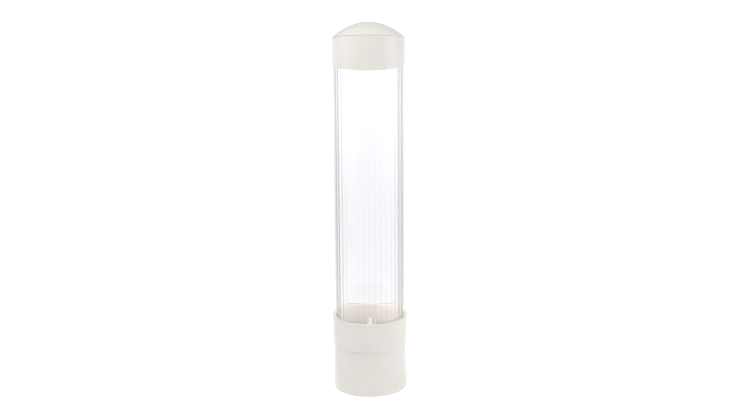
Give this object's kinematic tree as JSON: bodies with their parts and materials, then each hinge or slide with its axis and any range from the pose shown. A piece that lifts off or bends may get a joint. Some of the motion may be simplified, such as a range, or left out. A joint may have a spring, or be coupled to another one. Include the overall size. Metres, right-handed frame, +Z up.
{
  "type": "cup dispenser",
  "caption": "Wall-mounted cup dispenser: a clear fluted tube with a lift-off domed cap, a collar with a flat back and a ring that sets the cup size.",
  "frame": {"origin": "on the tube's axis at the foot of the adjusting ring", "axes": "+Z up along the tube, +Y towards the wall that it is fixed to, +X to the right seen from the front"},
  "size_m": [0.0926, 0.0926, 0.4578],
  "materials": {
    "shell": "satin white ABS",
    "inner": "natural acetal",
    "clear": "clear extruded polystyrene",
    "rubber": "soft grey rubber",
    "steel": "zinc-plated",
    "foam": "white foam tape"
  },
  "bodies": {
    "housing": {"collar": "shell", "tube_gasket": "rubber", "tube": "clear", "finger_carrier": "inner", "carrier_screw_1": "steel", "carrier_screw_2": "steel", "carrier_screw_3": "steel", "slide_washer": "inner", "mount_pad_left": "foam", "mount_pad_right": "foam", "finger_pin_1": "steel", "finger_pin_2": "steel", "finger_pin_3": "steel", "finger_pin_4": "steel", "finger_pin_5": "steel", "finger_pin_6": "steel"},
    "ring": {"twist_ring": "shell"},
    "cap": {"cap_band": "shell", "cap_dome": "shell", "cap_seal": "rubber"},
    "finger_a": {"finger_1": "inner"},
    "finger_b": {"finger_2": "inner"},
    "finger_c": {"finger_3": "inner"},
    "finger_d": {"finger_4": "inner"},
    "finger_e": {"finger_5": "inner"},
    "finger_f": {"finger_6": "inner"}
  },
  "joints": [
    {"name": "ring_turn", "type": "hinge", "parent": "housing", "child": "ring", "pos_m": [0, 0, 0.03], "axis": [0, 0, 1], "range_deg": [0, 40]},
    {"name": "cap_lift", "type": "slide", "parent": "housing", "child": "cap", "axis": [0, 0, 1], "range_m": [0, 0.06]},
    {"name": "finger_a_swing", "type": "hinge", "parent": "housing", "child": "finger_a", "pos_m": [0.0399, 0, 0.046], "axis": [0, 1, 0], "range_deg": [0, 8]},
    {"name": "finger_b_swing", "type": "hinge", "parent": "housing", "child": "finger_b", "pos_m": [0.01995, 0.03455, 0.046], "axis": [-0.866, 0.5, 0], "range_deg": [0, 8]},
    {"name": "finger_c_swing", "type": "hinge", "parent": "housing", "child": "finger_c", "pos_m": [-0.01995, 0.03455, 0.046], "axis": [-0.866, -0.5, 0], "range_deg": [0, 8]},
    {"name": "finger_d_swing", "type": "hinge", "parent": "housing", "child": "finger_d", "pos_m": [-0.0399, 0, 0.046], "axis": [0, -1, 0], "range_deg": [0, 8]},
    {"name": "finger_e_swing", "type": "hinge", "parent": "housing", "child": "finger_e", "pos_m": [-0.01995, -0.03455, 0.046], "axis": [0.866, -0.5, 0], "range_deg": [0, 8]},
    {"name": "finger_f_swing", "type": "hinge", "parent": "housing", "child": "finger_f", "pos_m": [0.01995, -0.03455, 0.046], "axis": [0.866, 0.5, 0], "range_deg": [0, 8]}
  ],
  "couplings": [
    {"joint": "finger_a_swing", "follows": "ring_turn", "ratio": 0.2},
    {"joint": "finger_b_swing", "follows": "ring_turn", "ratio": 0.2},
    {"joint": "finger_c_swing", "follows": "ring_turn", "ratio": 0.2},
    {"joint": "finger_d_swing", "follows": "ring_turn", "ratio": 0.2},
    {"joint": "finger_e_swing", "follows": "ring_turn", "ratio": 0.2},
    {"joint": "finger_f_swing", "follows": "ring_turn", "ratio": 0.2}
  ]
}
